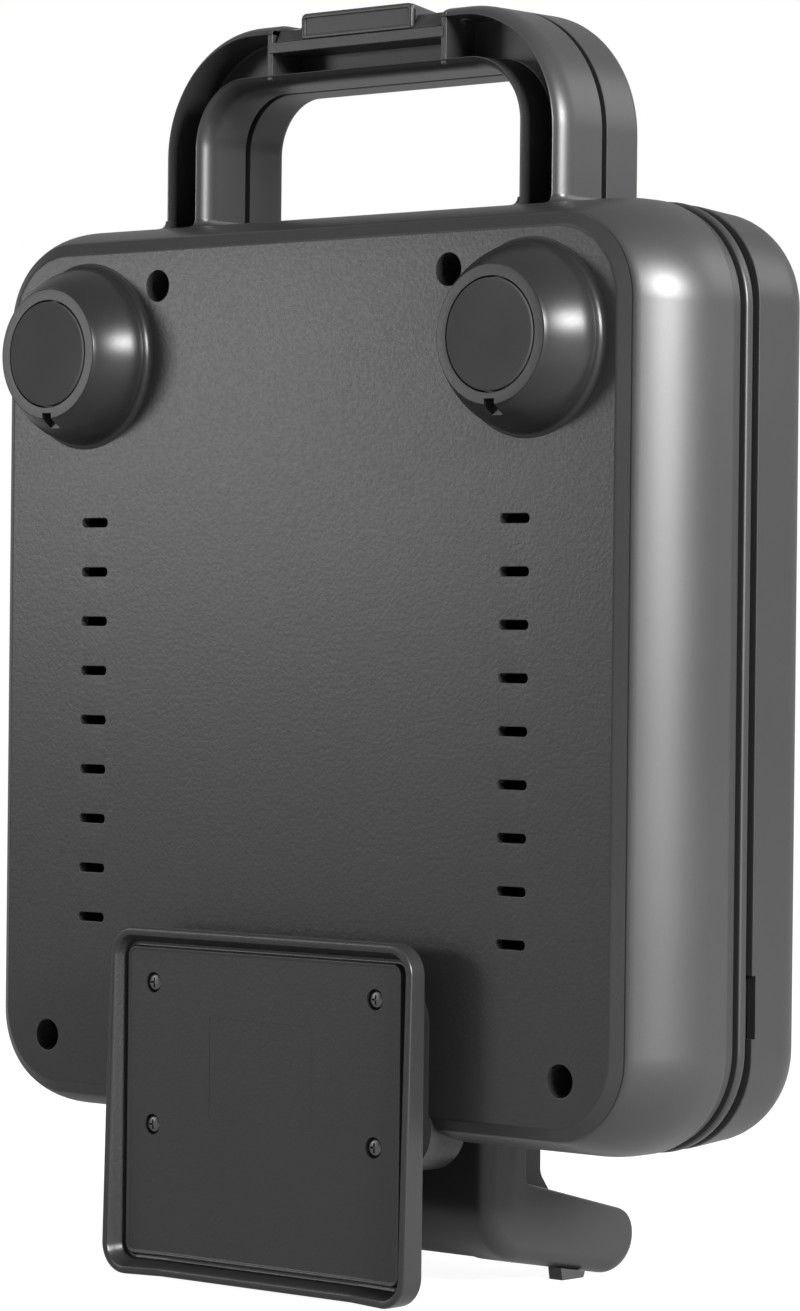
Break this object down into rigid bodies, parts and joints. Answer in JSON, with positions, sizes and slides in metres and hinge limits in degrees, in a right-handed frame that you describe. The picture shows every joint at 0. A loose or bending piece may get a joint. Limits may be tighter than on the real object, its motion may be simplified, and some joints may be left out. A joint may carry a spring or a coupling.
{
  "type": "sandwich maker",
  "caption": "Electric sandwich maker stored upright: rounded hinged halves, bail handle with latch, cord-wrap foot, round feet and a floating cranked hinge.",
  "frame": {"origin": "middle of the bounding box at the surface that the upright appliance stands on", "axes": "+X across the body, +Y from the feet towards the lid, +Z from the hinge end up to the handle"},
  "size_m": [0.24, 0.1054, 0.3373],
  "materials": {
    "cover_plastic": "fine grained",
    "housing_paint": "satin metallic paint",
    "ring_paint": "satin metallic paint",
    "lid_paint": "satin metallic paint",
    "black_plastic": "fine matt",
    "foot_plastic": "soft gloss",
    "pad_rubber": "matt",
    "screw_steel": "dark zinc",
    "pin_steel": "ground",
    "plate_coating": "dark non-stick coating",
    "element_steel": "oxidised",
    "tray_metal": "bright pressed sheet",
    "switch_metal": "dull",
    "terminal_plastic": "plain",
    "red_lens": "clear",
    "green_lens": "clear"
  },
  "bodies": {
    "base": {"base_cover": "cover_plastic", "lower_housing": "housing_paint", "cover_screw_posts": "cover_plastic", "cover_screws": "screw_steel", "front_foot_left": "foot_plastic", "front_foot_right": "foot_plastic", "foot_pad_left": "pad_rubber", "foot_pad_right": "pad_rubber", "cord_wrap_plate": "black_plastic", "cord_plate_screws": "screw_steel", "cord_wrap_neck": "black_plastic", "cord_gland": "pad_rubber", "lower_trim_ring": "ring_paint", "lower_cooking_plate": "plate_coating", "lower_heating_element": "element_steel", "lower_reflector": "tray_metal", "thermostat": "switch_metal", "thermal_fuse": "switch_metal", "terminal_block": "terminal_plastic", "lower_handle": "black_plastic", "latch_pin": "pin_steel", "latch_spring": "pin_steel", "hinge_arm_left": "black_plastic", "hinge_arm_right": "black_plastic", "hinge_crossbar": "black_plastic", "hinge_pads": "pad_rubber"},
    "hinge_carriage": {"hinge_pin": "pin_steel", "float_roller_left": "black_plastic", "float_roller_right": "black_plastic"},
    "lid": {"lid_knuckle": "black_plastic", "lid_cover": "lid_paint", "lid_frame": "black_plastic", "upper_cooking_plate": "plate_coating", "upper_heating_element": "element_steel", "upper_handle": "black_plastic", "power_lamp": "red_lens", "ready_lamp": "green_lens"},
    "latch": {"latch_lever": "black_plastic"}
  },
  "joints": [
    {"name": "hinge_float", "type": "slide", "parent": "base", "child": "hinge_carriage", "axis": [0, 1, 0], "range_m": [0, 0.015]},
    {"name": "lid_hinge", "type": "hinge", "parent": "hinge_carriage", "child": "lid", "pos_m": [0, 0.02685, 0.011], "axis": [-1, 0, 0], "range_deg": [0, 100]},
    {"name": "latch_press", "type": "hinge", "parent": "base", "child": "latch", "pos_m": [0, -0.00965, 0.3322], "axis": [1, 0, 0], "range_deg": [0, 10], "stiffness_Nm_per_rad": 0.05, "springref_deg": -11.46}
  ]
}
